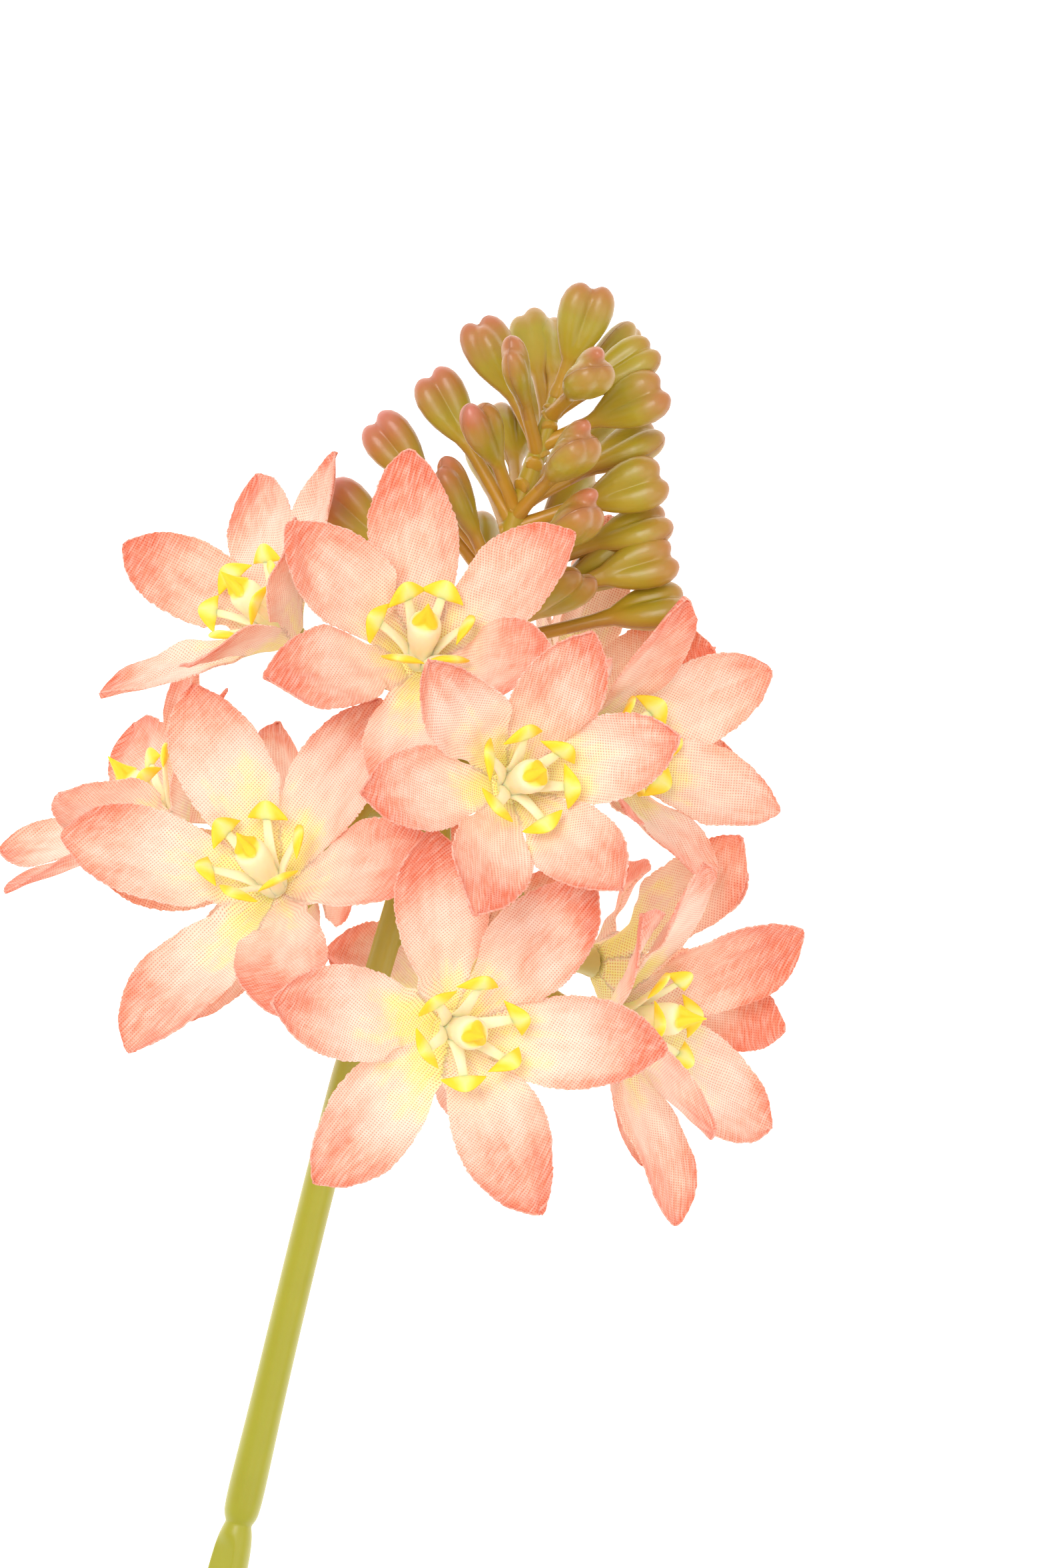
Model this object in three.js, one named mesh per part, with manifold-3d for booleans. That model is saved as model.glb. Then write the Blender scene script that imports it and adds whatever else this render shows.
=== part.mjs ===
import * as THREE from "three";
import { mergeVertices } from "three/addons/utils/BufferGeometryUtils.js";
import Module from "manifold-3d";

// A stem of star of Bethlehem in moulded plastic and woven cloth, lying down.
// Millimetres, +Z up. The stem runs along +Y from a small flat under its cut foot,
// which is the origin, and rises to the head, which rests on a few petal tips.

// Stem
const stemRadius = 2.1;
const footRadius = 2.5;
const knuckleY = 154;
const pinchRadius = 1.8;
const knuckleRadius = 2.35;
const stemTopY = 219;
const socketRadius = 1.45;
const socketDepth = 7;
const plugRadius = 1.1;

// Raceme axis and bud spike
const racemeRadius = 1.75;
const racemeTopRadius = 1.6;
const racemeTopY = 270;
const budPlugRadius = 0.8;
const budSocketRadius = 1.12;
const budSocketDepth = 4;
const spikeRadius = 1.5;
const spikeTopRadius = 1.1;
const spikeTopY = 306;
const gap = 0.3;

// Open blooms
const petalLength = 28.5;
const petalThickness = 0.7;
const petalRootAt = 2.2;
const petalCup = 0.24;
const petalOutline = [1, 1.7, 2.7, 4.2, 5.7, 6.5, 6.6, 5.9, 4.6, 2.7, 0.35];
const petalSteps = 5;
const eyeHoleRadius = 1.3;
const slitAngle = 2.5;
const cupRadius = 2.2;
const cupTop = -0.7;
const pinRadius = 0.85;
const pinTop = 0.5;

// Moulded centres
const discRadius = 1.45;
const discLow = 0.82;
const discTop = 1.6;
const pistilLength = 11;
const filamentLength = 8.6;
const filamentSplay = 33;
const petalClearance = 82;
const antherHalfLength = 2.8;
const filamentThickness = 0.8;

// Buds
const budHalfLength = 4.9;
const budHalfWidth = 3.4;
const budHalfThickness = 2.1;
const budNotch = 1.2;
const budWaist = 0.25;
const budStalkRadius = 0.9;

// Points on the axis of the whole stem, from the cut foot to the top of the spike.
const axisPoints = [
  [0, -2, 1.45],
  [0, 100, 17.5],
  [-0.2, 196, 32.3],
  [0.3, 218, 36],
  [1.5, 240, 39.4],
  [3, 265, 43],
  [4.5, 290, 46],
  [6.1, 305, 48.5],
  [6, 320, 51],
];

// One row per open bloom: its eye, the way it faces, the way its centre leans, its
// share of the full petal length, its turn, where its side stalk leaves the axis,
// then for its six petals the lift, the turn aside, the bend and the twist in degrees.
const blooms = [
  {
    at: [-20.1, 268.2, 45.9], face: [-0.75, 0.45, 0.48], aim: [-0.75, 0.43, 0.5],
    size: 0.89, spin: -19, foot: 262,
    lifts: [36, 24, 52, 29, 40, 48], turns: [-1, 3, -4, -6, -2, 8],
    bends: [12, 12, 4, 8, 14, 14], twists: [-4, 4, 6, -10, 2, -4],
  },
  {
    at: [-2.7, 268.6, 61.2], face: [-0.14, 0.31, 0.94], aim: [-0.03, 0.56, 0.83],
    size: 0.94, spin: 13, foot: 261,
    lifts: [25, 45, 44, 27, 47, 31], turns: [4, -6, -3, -1, 10, 3],
    bends: [6, 18, 16, 6, 4, 12], twists: [6, 2, 4, -10, -2, 6],
  },
  {
    at: [-28.6, 240.2, 36.1], face: [-0.83, 0.52, 0.22], aim: [-0.8, 0.58, 0.14],
    size: 0.9, spin: 10, foot: 245,
    lifts: [39, 24, 29, 31, 47, 30], turns: [1, -1, 6, 8, -8, 3],
    bends: [10, 14, 10, 10, 4, 8], twists: [2, 6, 4, 2, 0, 2],
  },
  {
    at: [-13.7, 236.7, 56.1], face: [-0.38, 0.34, 0.86], aim: [-0.48, 0.45, 0.75],
    size: 0.99, spin: 39, foot: 261,
    lifts: [30, 29, 5, 29, 26, 28], turns: [0, 1, 1, -3, 5, -1],
    bends: [10, 10, 14, 8, 8, 6], twists: [-4, 6, -4, 6, 0, -8],
  },
  {
    at: [11.8, 256.2, 75.9], face: [0.09, 0.1, 0.99], aim: [0.32, 0.23, 0.92],
    size: 0.87, spin: -7, foot: 252,
    lifts: [40, 46, 39, 46, 44, 38], turns: [-6, 0, -4, 1, 1, 4],
    bends: [10, 16, 10, 12, 8, 8], twists: [0, 4, 0, 10, 2, -4],
  },
  {
    at: [11.8, 225.2, 69.2], face: [0.17, 0.12, 0.98], aim: [0.33, 0.01, 0.94],
    size: 0.97, spin: 33, foot: 253,
    lifts: [29, 27, 14, 28, 27, 34], turns: [-9, 4, -4, 0, 2, -2],
    bends: [8, 8, 6, 6, 8, 12], twists: [-4, 2, 2, -16, -14, 0],
  },
  {
    at: [20.6, 262.9, 41.4], face: [0.72, 0.24, 0.65], aim: [0.77, 0.22, 0.6],
    size: 0.92, spin: 11, foot: 262,
    lifts: [50, 44, 51, 48, 50, 43], turns: [1, 0, -2, 3, -2, -4],
    bends: [10, 10, 10, 8, 4, 6], twists: [0, 0, -2, 4, -2, 8],
  },
  {
    at: [31, 230.6, 51.6], face: [0.88, 0.06, 0.47], aim: [0.89, 0.23, 0.39],
    size: 0.98, spin: 12, foot: 258,
    lifts: [35, 31, 59, 32, 36, 43], turns: [14, -14, 7, -6, -8, 4],
    bends: [14, 10, 4, 6, 8, 6], twists: [6, -2, 4, -12, -4, 4],
  },
  {
    at: [27.95, 236.62, 30.86], face: [0.83, 0.17, -0.53], aim: [0.86, -0.18, -0.48],
    size: 0.97, spin: -10, foot: 259,
    lifts: [70, 20, 38, 18, 34, 41], turns: [0, -6, -6, 3, 2, 9],
    bends: [12, 14, 8, 10, 18, 8], twists: [6, -4, 4, 8, -10, -12],
  },
  {
    at: [-12.73, 241.8, 25.2], face: [-0.56, -0.5, -0.66], aim: [-0.67, -0.28, -0.69],
    size: 0.95, spin: -37, foot: 248,
    lifts: [40, 25, 36, 42, 35, 42], turns: [1, -4, 0, -1, 2, 3],
    bends: [4, 8, 12, 10, 8, 8], twists: [4, 2, -4, -2, 6, 2],
  },
  {
    at: [15.12, 267.79, 23.28], face: [0.56, 0.76, -0.33], aim: [0.59, 0.7, -0.41],
    size: 0.96, spin: -35, foot: 243,
    lifts: [36, 44, 32, 32, 38, 46], turns: [1, -1, 0, 3, -1, 4],
    bends: [12, 12, 10, 10, 8, 6], twists: [4, 0, 2, 0, -2, 4],
  },
  {
    at: [9.29, 227.77, 31.53], face: [0.19, 0.04, -0.98], aim: [0.13, 0.05, -0.99],
    size: 0.99, spin: -24, foot: 235,
    lifts: [39, 41, 47, 42, 45, 47], turns: [7, -4, 9, -2, 2, -4],
    bends: [18, 4, 12, 12, 12, 16], twists: [-6, -4, -2, -10, 0, 8],
  },
];

// Buds from the tip down: where each stalk leaves the axis, then the bud's middle.
const buds = [
  [306, 7, 315.5, 50.9],
  [304, 3.5, 312.1, 40.9],
  [302, 1.3, 311.9, 41.1],
  [298.5, -3, 308.7, 48.4],
  [298, 0.4, 307, 57.8],
  [288.5, -7.3, 301.2, 45.8],
  [290, -1.6, 298.7, 55.1],
  [282, -12.3, 294.5, 44.7],
  [281, -3.5, 290.5, 48.8],
  [274, -15.8, 285, 43.5],
  [279, 0, 286.3, 34.4],
  [291, 1.4, 300.3, 35.4],
  [303, 9.2, 307.9, 60.1],
  [304, 11.6, 313.2, 43.5],
  [303, 13.4, 311, 49.1],
  [299, 15.5, 306.8, 51.2],
  [291, 16.2, 301.4, 43.9],
  [289.5, 9.5, 298.1, 57.7],
  [288, 17.7, 296.4, 47.5],
  [281, 19.6, 291.4, 44],
  [280, 11.6, 289.8, 54.6],
  [277, 21.3, 287.2, 45.3],
  [272, 23.9, 282.3, 43.5],
  [272, 12.3, 281.2, 51.4],
  [297, 4.4, 305.3, 34.4],
  [294, 13, 302.4, 36.1],
  [287, -1.1, 295.2, 33.7],
  [284, 11.2, 294.1, 35.4],
  [280, -7.2, 289.5, 40],
  [275, 16.8, 286, 42.4],
  [274, 7.5, 283.2, 32.3],
];

const petalRose = new THREE.MeshStandardMaterial({ color: 0xf7b59b, roughness: 0.85, metalness: 0 });
const centreYellow = new THREE.MeshStandardMaterial({ color: 0xf3d26a, roughness: 0.45, metalness: 0 });
const stemOlive = new THREE.MeshStandardMaterial({ color: 0xb4b040, roughness: 0.4, metalness: 0 });
const racemeOlive = new THREE.MeshStandardMaterial({ color: 0xb3a548, roughness: 0.4, metalness: 0 });
const budOlive = new THREE.MeshStandardMaterial({ color: 0xb0a04e, roughness: 0.3, metalness: 0 });

const wasm = await Module();
wasm.setup();

// Moves the points of a closed shape by a rule and makes a solid of it.
function bentSolid(shape, move) {
  shape.deleteAttribute("normal");
  shape.deleteAttribute("uv");
  const merged = mergeVertices(shape, 1e-5);
  const points = merged.attributes.position;
  const point = new THREE.Vector3();
  for (let i = 0; i < points.count; i += 1) {
    point.fromBufferAttribute(points, i);
    move(point);
    points.setXYZ(i, point.x, point.y, point.z);
  }
  const corners = merged.index.array;
  const kept = [];
  for (let i = 0; i < corners.length; i += 3) {
    const [a, b, c] = corners.slice(i, i + 3);
    if (a !== b && b !== c && c !== a) kept.push(a, b, c);
  }
  return new wasm.Manifold(new wasm.Mesh({
    numProp: 3,
    vertProperties: new Float32Array(points.array),
    triVerts: new Uint32Array(kept),
  }));
}

function joined(solids) {
  return solids.reduce((whole, next) => whole.add(next));
}

function meshOf(solid, name, material) {
  const { vertProperties, triVerts, numProp } = solid.getMesh();
  const points = new Float32Array((vertProperties.length / numProp) * 3);
  for (let i = 0; i < points.length / 3; i += 1) {
    for (let k = 0; k < 3; k += 1) points[i * 3 + k] = vertProperties[i * numProp + k];
  }
  const geometry = new THREE.BufferGeometry();
  geometry.setAttribute("position", new THREE.BufferAttribute(points, 3));
  geometry.setIndex(new THREE.BufferAttribute(new Uint32Array(triVerts), 1));
  geometry.computeVertexNormals();
  const mesh = new THREE.Mesh(geometry, material);
  mesh.name = name;
  return mesh;
}

function axisAt(y) {
  const last = axisPoints.length - 2;
  let i = 0;
  while (i < last && axisPoints[i + 1][1] < y) i += 1;
  const from = new THREE.Vector3(...axisPoints[i]);
  const to = new THREE.Vector3(...axisPoints[i + 1]);
  return from.lerp(to, (y - from.y) / (to.y - from.y));
}

// A rod along the stem's axis. Stations are pairs of a y and a radius.
function axisRod(stations, sides) {
  const steps = stations.length - 1;
  const rod = new THREE.CylinderGeometry(1, 1, 1, sides, steps);
  return bentSolid(rod, (point) => {
    const [y, radius] = stations[Math.round((point.y + 0.5) * steps)];
    const middle = axisAt(y);
    point.set(middle.x + point.x * radius, y, middle.z + point.z * radius);
  });
}

function makeStem() {
  const rod = axisRod([
    [-2, footRadius],
    [60, footRadius],
    [knuckleY - 6, footRadius],
    [knuckleY - 3, footRadius - 0.15],
    [knuckleY, pinchRadius],
    [knuckleY + 5, knuckleRadius],
    [knuckleY + 18, stemRadius],
    [200, stemRadius],
    [stemTopY - 1.2, stemRadius],
    [stemTopY, stemRadius - 0.4],
  ], 12);
  const socket = axisRod([
    [stemTopY - socketDepth, socketRadius],
    [stemTopY + 4, socketRadius],
  ], 10);
  const ground = new THREE.BoxGeometry(20, 40, 10);
  ground.translate(0, 0, -5);
  return rod.subtract(socket).subtract(bentSolid(ground, () => {}));
}

// The frame of a bloom: x toward the first petal's zero, z the way it faces.
function bloomFrame(bloom) {
  const facing = new THREE.Vector3(...bloom.face).normalize();
  const first = new THREE.Vector3(0, 1, 0).addScaledVector(facing, -facing.y).normalize();
  return new THREE.Matrix4()
    .makeBasis(first, facing.clone().cross(first), facing)
    .setPosition(...bloom.at);
}

function makeSideStalk(bloom) {
  const frame = bloomFrame(bloom);
  const foot = axisAt(bloom.foot);
  const facing = new THREE.Vector3(0, 0, 1).transformDirection(frame);
  const end = new THREE.Vector3(...bloom.at).addScaledVector(facing, -3);
  const reach = foot.distanceTo(end) * 0.45;
  const leave = end.clone().sub(foot).normalize().add(new THREE.Vector3(0, 0.6, 0.1)).normalize();
  const curve = new THREE.CubicBezierCurve3(
    foot,
    foot.clone().addScaledVector(leave, reach),
    end.clone().addScaledVector(facing, -reach),
    end,
  );
  // Stations: the share of the curve, or past its end the height over the eye.
  const stations = [[0, 1.15], [0.5, 1], [1, 0.9]];
  const heights = [
    [cupTop - 0.6, cupRadius],
    [cupTop, cupRadius],
    [cupTop, pinRadius],
    [pinTop, pinRadius],
  ];
  const steps = stations.length + heights.length - 1;
  const rod = new THREE.CylinderGeometry(1, 1, 1, 6, steps);
  return bentSolid(rod, (point) => {
    const station = Math.round((point.y + 0.5) * steps);
    const onCurve = station < stations.length;
    const [place, radius] = onCurve ? stations[station] : heights[station - stations.length];
    const along = onCurve ? curve.getTangent(place) : facing;
    const side = new THREE.Vector3(0.31, 0.17, 0.93).cross(along).normalize();
    const other = side.clone().cross(along);
    const { x, z } = point;
    if (onCurve) point.copy(curve.getPoint(place));
    else point.set(...bloom.at).addScaledVector(facing, place);
    point.addScaledVector(side, x * radius).addScaledVector(other, z * radius);
  });
}

function makeRaceme() {
  const axis = axisRod([
    [stemTopY - socketDepth + gap, plugRadius],
    [stemTopY + gap, plugRadius],
    [stemTopY + gap + 0.6, racemeRadius],
    [230, racemeRadius],
    [250, racemeRadius],
    [racemeTopY, racemeTopRadius],
  ], 8);
  const socket = axisRod([
    [racemeTopY - budSocketDepth, budSocketRadius],
    [racemeTopY + 3, budSocketRadius],
  ], 8);
  return joined([axis, ...blooms.map(makeSideStalk)]).subtract(socket);
}

function petalHalfWidth(share) {
  const place = share * (petalOutline.length - 1);
  const i = Math.min(Math.floor(place), petalOutline.length - 2);
  return THREE.MathUtils.lerp(petalOutline[i], petalOutline[i + 1], place - i);
}

// A point of one petal. Row 0 is the rim of the eye's hole, row 1 the petal's root, and
// from there the blade leaves at the petal's lift, bends over evenly and twists toward
// its tip. The column is -1, 0 or 1 across the petal, the level -1 below or 1 above.
function petalPoint(bloom, index, row, column, level) {
  const eyeTurn = THREE.MathUtils.degToRad(bloom.spin + 60 * index + 30 * column);
  if (row < 2) {
    const reach = row === 0 ? eyeHoleRadius : petalRootAt * (1 + 0.1 * Math.abs(column));
    const height = (level * petalThickness) / 2;
    return new THREE.Vector3(reach * Math.cos(eyeTurn), reach * Math.sin(eyeTurn), height);
  }
  const share = (row - 1) / petalSteps;
  const turn = THREE.MathUtils.degToRad(bloom.spin + 60 * index + bloom.turns[index]);
  const bend = THREE.MathUtils.degToRad(bloom.bends[index]);
  const twist = THREE.MathUtils.degToRad(bloom.twists[index]);
  const run = petalLength * bloom.size - petalRootAt;
  const start = THREE.MathUtils.degToRad(bloom.lifts[index]) + bend / 2;
  const slope = start - bend * share;
  const reach = petalRootAt + (run * (Math.sin(start) - Math.sin(slope))) / bend;
  const rise = (run * (Math.cos(slope) - Math.cos(start))) / bend;
  const out = new THREE.Vector3(Math.cos(turn), Math.sin(turn), 0);
  const side = new THREE.Vector3(-Math.sin(turn), Math.cos(turn), 0);
  const up = out.clone().multiplyScalar(-Math.sin(slope));
  up.z = Math.cos(slope);
  const along = side.clone().cross(up);
  side.applyAxisAngle(along, -twist * share);
  up.applyAxisAngle(along, -twist * share);
  const beside = (index + (column < 0 ? 5 : 1)) % 6;
  const spread = 60 + Math.sign(column) * (bloom.turns[beside] - bloom.turns[index]);
  const wedge = Math.tan(THREE.MathUtils.degToRad(spread / 2 - slitAngle));
  const steepness = Math.abs(Math.sin(slope));
  const room = ((reach - 0.4 * steepness) * wedge) / (1 + petalCup * steepness * wedge);
  const half = Math.min(petalHalfWidth(share) * bloom.size, room);
  const height = petalCup * half * column ** 2 + (level * petalThickness) / 2;
  const point = out.multiplyScalar(reach);
  point.z += rise;
  return point.addScaledVector(side, column * half).addScaledVector(up, height);
}

// A star of six petals cut from one piece, closed all round.
function makeStar(bloom) {
  const corners = [];
  const quad = (a, b, c, d) => corners.push(a, b, c, a, c, d);
  const lastRow = petalSteps + 1;
  for (let index = 0; index < 6; index += 1) {
    const at = (row, column, level) => petalPoint(bloom, index, row, column, level);
    for (let row = 0; row < lastRow; row += 1) {
      for (const c of [-1, 0]) {
        quad(at(row, c, 1), at(row + 1, c, 1), at(row + 1, c + 1, 1), at(row, c + 1, 1));
        quad(at(row, c, -1), at(row, c + 1, -1), at(row + 1, c + 1, -1), at(row + 1, c, -1));
      }
      if (row > 0) {
        quad(at(row, 1, -1), at(row, 1, 1), at(row + 1, 1, 1), at(row + 1, 1, -1));
        quad(at(row, -1, -1), at(row + 1, -1, -1), at(row + 1, -1, 1), at(row, -1, 1));
      }
    }
    for (const c of [-1, 0]) {
      quad(at(lastRow, c, -1), at(lastRow, c + 1, -1), at(lastRow, c + 1, 1), at(lastRow, c, 1));
      quad(at(0, c, -1), at(0, c, 1), at(0, c + 1, 1), at(0, c + 1, -1));
    }
  }
  return bentSolid(new THREE.BufferGeometry().setFromPoints(corners), () => {});
}

// How far a filament leans out: less where the petals beside it stand steep.
function splayOf(bloom, aim, index) {
  const next = (index + 1) % 6;
  const steepest = Math.max(
    bloom.lifts[index] + bloom.bends[index] / 2,
    bloom.lifts[next] + bloom.bends[next] / 2,
  );
  const lean = THREE.MathUtils.radToDeg(Math.acos(Math.min(aim.z, 1)));
  const turn = THREE.MathUtils.degToRad(bloom.spin + 30 + 60 * index);
  const toward = lean * Math.cos(turn - Math.atan2(aim.y, aim.x));
  return THREE.MathUtils.clamp(petalClearance - steepest - toward, 8, filamentSplay);
}

// The moulded centre: a barrel-shaped pistil on a small disc with six flat filaments,
// each with an anther pointed at both ends set across its tip. The disc and filaments
// are cut flat as one piece and the filaments bent up.
function makeCentre(bloom) {
  const toLocal = bloomFrame(bloom).invert();
  const aim = new THREE.Vector3(...bloom.aim).transformDirection(toLocal);
  const first = new THREE.Vector3(0, 1, 0).transformDirection(toLocal);
  first.addScaledVector(aim, -first.dot(aim)).normalize();
  const second = aim.clone().cross(first);
  const armOutline = [
    [0.6, 0],
    [0.38, filamentLength - 0.4],
    [antherHalfLength, filamentLength + 0.1],
    [0, filamentLength + 1.3],
    [-antherHalfLength, filamentLength + 0.1],
    [-0.38, filamentLength - 0.4],
    [-0.6, 0],
  ];
  const outline = [];
  for (let i = 0; i < 6; i += 1) {
    const turn = (i * Math.PI) / 3;
    armOutline.forEach(([across, along]) => outline.push(
      new THREE.Vector2(discRadius + along, -across).rotateAround(new THREE.Vector2(), turn),
    ));
  }
  const flat = new THREE.ExtrudeGeometry(new THREE.Shape(outline), { depth: 1, bevelEnabled: false });
  const arms = bentSolid(flat, (point) => {
    const index = Math.round(Math.atan2(point.y, point.x) / (Math.PI / 3));
    const flatTurn = (index * Math.PI) / 3;
    const along = point.x * Math.cos(flatTurn) + point.y * Math.sin(flatTurn) - discRadius;
    const across = point.y * Math.cos(flatTurn) - point.x * Math.sin(flatTurn);
    const turn = THREE.MathUtils.degToRad(bloom.spin + 30 + 60 * index);
    const level = point.z;
    if (along < 0.1) {
      point.set(discRadius, across, 0).applyAxisAngle(new THREE.Vector3(0, 0, 1), turn);
      point.z = THREE.MathUtils.lerp(discLow, discTop, level);
      return;
    }
    const splay = THREE.MathUtils.degToRad(splayOf(bloom, aim, (index + 6) % 6));
    const out = first.clone().multiplyScalar(Math.cos(turn)).addScaledVector(second, Math.sin(turn));
    const rising = out.clone().multiplyScalar(Math.sin(splay)).addScaledVector(aim, Math.cos(splay));
    const side = aim.clone().cross(out);
    const face = rising.clone().cross(side);
    point.set(0, 0, (discLow + discTop) / 2).addScaledVector(out, discRadius);
    point.addScaledVector(rising, along).addScaledVector(side, across);
    point.addScaledVector(face, (level - 0.5) * filamentThickness);
  });
  const pistil = new THREE.LatheGeometry([
    new THREE.Vector2(0, 0),
    new THREE.Vector2(0.75, 0),
    new THREE.Vector2(0.75, 2.6),
    new THREE.Vector2(2, 4.8),
    new THREE.Vector2(1.8, 7.8),
    new THREE.Vector2(0.7, pistilLength - 1.4),
    new THREE.Vector2(0, pistilLength),
  ], 6);
  const upright = new THREE.Quaternion().setFromUnitVectors(new THREE.Vector3(0, 1, 0), aim);
  return arms.add(bentSolid(pistil, (point) => {
    point.applyQuaternion(upright);
    point.z += discLow + 0.3;
  }));
}

// A bud: a stalk that thickens into a club of two fused lobes with a notch between them.
function makeBud([footY, x, y, z]) {
  const foot = axisAt(footY);
  const middle = new THREE.Vector3(x, y, z);
  const along = middle.clone().sub(foot).normalize();
  const side = along.clone().cross(new THREE.Vector3(0, 0, 1)).normalize();
  const front = side.clone().cross(along);
  const base = foot.distanceTo(middle) - budHalfLength;
  // Stations: the way up from the foot, half the width, half the thickness.
  const stations = [
    [0, budStalkRadius, budStalkRadius],
    [base, budStalkRadius * 1.15, budStalkRadius * 1.15],
    [base + budHalfLength * 0.8, budHalfWidth * 0.72, budHalfThickness * 0.85],
    [base + budHalfLength * 1.6, budHalfWidth, budHalfThickness],
    [base + budHalfLength * 2, budHalfWidth * 0.55, budHalfThickness * 0.5],
  ];
  const steps = stations.length - 1;
  const club = new THREE.CylinderGeometry(1, 1, 1, 8, steps);
  return bentSolid(club, (point) => {
    const station = Math.round((point.y + 0.5) * steps);
    const [way, width, thickness] = stations[station];
    const notch = station === steps ? budNotch * (1 - Math.abs(point.x)) : 0;
    const waist = station > 1 ? 1 - budWaist * (1 - Math.abs(point.x)) : 1;
    const { x: u, z: w } = point;
    point.copy(foot).addScaledVector(along, way - notch);
    point.addScaledVector(side, u * width).addScaledVector(front, w * thickness * waist);
  });
}

function makeSpike() {
  const axis = axisRod([
    [racemeTopY - budSocketDepth + gap, budPlugRadius],
    [racemeTopY + gap, budPlugRadius],
    [racemeTopY + gap + 0.5, spikeRadius],
    [288, spikeRadius],
    [spikeTopY, spikeTopRadius],
  ], 8);
  return joined([axis, ...buds.map(makeBud)]);
}

const plant = new THREE.Group();
plant.add(meshOf(makeStem(), "stem", stemOlive));
plant.add(meshOf(makeRaceme(), "raceme_axis", racemeOlive));
plant.add(meshOf(makeSpike(), "bud_spike", budOlive));
blooms.forEach((bloom, index) => {
  const number = String(index + 1).padStart(2, "0");
  const head = new THREE.Group();
  bloomFrame(bloom).decompose(head.position, head.quaternion, head.scale);
  head.add(meshOf(makeStar(bloom), `bloom_${number}_petals`, petalRose));
  head.add(meshOf(makeCentre(bloom), `bloom_${number}_centre`, centreYellow));
  plant.add(head);
});

export default plant;
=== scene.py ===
import math
import random

import bpy
import numpy as np
from mathutils import Matrix, Vector


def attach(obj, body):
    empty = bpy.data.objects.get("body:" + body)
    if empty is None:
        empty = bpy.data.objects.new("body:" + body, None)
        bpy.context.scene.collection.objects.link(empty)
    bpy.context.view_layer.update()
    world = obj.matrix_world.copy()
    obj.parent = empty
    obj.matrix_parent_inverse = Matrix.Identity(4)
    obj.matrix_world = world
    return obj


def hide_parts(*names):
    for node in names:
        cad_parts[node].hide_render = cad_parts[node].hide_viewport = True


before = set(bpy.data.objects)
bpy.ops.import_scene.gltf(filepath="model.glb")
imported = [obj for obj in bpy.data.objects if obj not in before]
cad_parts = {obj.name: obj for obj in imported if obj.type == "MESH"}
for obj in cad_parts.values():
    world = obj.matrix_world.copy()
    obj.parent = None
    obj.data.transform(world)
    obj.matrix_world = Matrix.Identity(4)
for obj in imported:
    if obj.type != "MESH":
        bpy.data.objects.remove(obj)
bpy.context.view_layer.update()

mm = 0.001
scene = bpy.context.scene
scene.view_settings.view_transform = "Standard"
print("frame loaded")

# Camera: straight down over the flower head, turned so that the stem leans to the right.
cameraValues = {
    "over": (0.0133, 0.2567),
    "height": 1.042,
    "turn": 13.5,
    "lens": 180.07,
}
bpy.ops.object.camera_add(
    location=(*cameraValues["over"], cameraValues["height"]),
    rotation=(0, 0, math.radians(cameraValues["turn"])),
)
camera = bpy.context.active_object
camera.data.sensor_width = 36
camera.data.lens = cameraValues["lens"]
camera.data.clip_end = 20
scene.camera = camera
print("camera placed")


# Small helpers

def clearSelection():
    if bpy.context.object and bpy.context.object.mode != "OBJECT":
        bpy.ops.object.mode_set(mode="OBJECT")
    bpy.ops.object.select_all(action="DESELECT")


def pickOnly(piece):
    clearSelection()
    piece.select_set(True)
    bpy.context.view_layer.objects.active = piece


def applyModifier(piece, kind, **values):
    pickOnly(piece)
    modifier = piece.modifiers.new(kind.title(), kind)
    for name, value in values.items():
        setattr(modifier, name, value)
    bpy.ops.object.modifier_apply(modifier=modifier.name)


def copyOf(master, name):
    piece = master.copy()
    piece.data = master.data.copy()
    piece.name = name
    scene.collection.objects.link(piece)
    return piece


def joinAll(pieces, name):
    clearSelection()
    for piece in pieces:
        piece.select_set(True)
    bpy.context.view_layer.objects.active = pieces[0]
    if len(pieces) > 1:
        bpy.ops.object.join()
    pieces[0].name = name
    return pieces[0]


def dropPiece(piece):
    pickOnly(piece)
    bpy.ops.object.delete()


def pointsOf(piece):
    flat = np.empty(len(piece.data.vertices) * 3)
    piece.data.vertices.foreach_get("co", flat)
    return flat.reshape(-1, 3)


def setPoints(piece, points):
    piece.data.vertices.foreach_set("co", np.ascontiguousarray(points).ravel())
    piece.data.update()


def setNumber(piece, name, values):
    mesh = piece.data
    layer = mesh.attributes.get(name) or mesh.attributes.new(name, "FLOAT", "POINT")
    layer.data.foreach_set("value", np.broadcast_to(values, len(mesh.vertices)).astype(float))


def smooth(low, high, x):
    share = np.clip((np.asarray(x, float) - low) / (high - low), 0, 1)
    return share * share * (3 - 2 * share)


# A closed tube raised by extruding a disc. A station is (x, y, z), half width, half depth in mm.
def growTube(name, stations, sides=12):
    clearSelection()
    middle, wide, deep = stations[0]
    bpy.ops.mesh.primitive_circle_add(
        vertices=sides, radius=mm, fill_type="NGON", location=Vector(middle) * mm)
    tube = bpy.context.active_object
    tube.name = name
    bpy.ops.object.transform_apply(location=True, rotation=True, scale=True)
    bpy.ops.object.mode_set(mode="EDIT")
    bpy.ops.mesh.select_all(action="SELECT")
    bpy.ops.transform.resize(value=(wide, deep, 1), center_override=Vector(middle) * mm)
    for nextMiddle, nextWide, nextDeep in stations[1:]:
        step = (Vector(nextMiddle) - Vector(middle)) * mm
        bpy.ops.mesh.extrude_region_move(TRANSFORM_OT_translate={"value": step})
        bpy.ops.transform.resize(
            value=(nextWide / wide, nextDeep / deep, 1), center_override=Vector(nextMiddle) * mm)
        middle, wide, deep = nextMiddle, nextWide, nextDeep
    bpy.ops.mesh.select_all(action="SELECT")
    bpy.ops.mesh.normals_make_consistent(inside=False)
    bpy.ops.object.mode_set(mode="OBJECT")
    return tube


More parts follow.
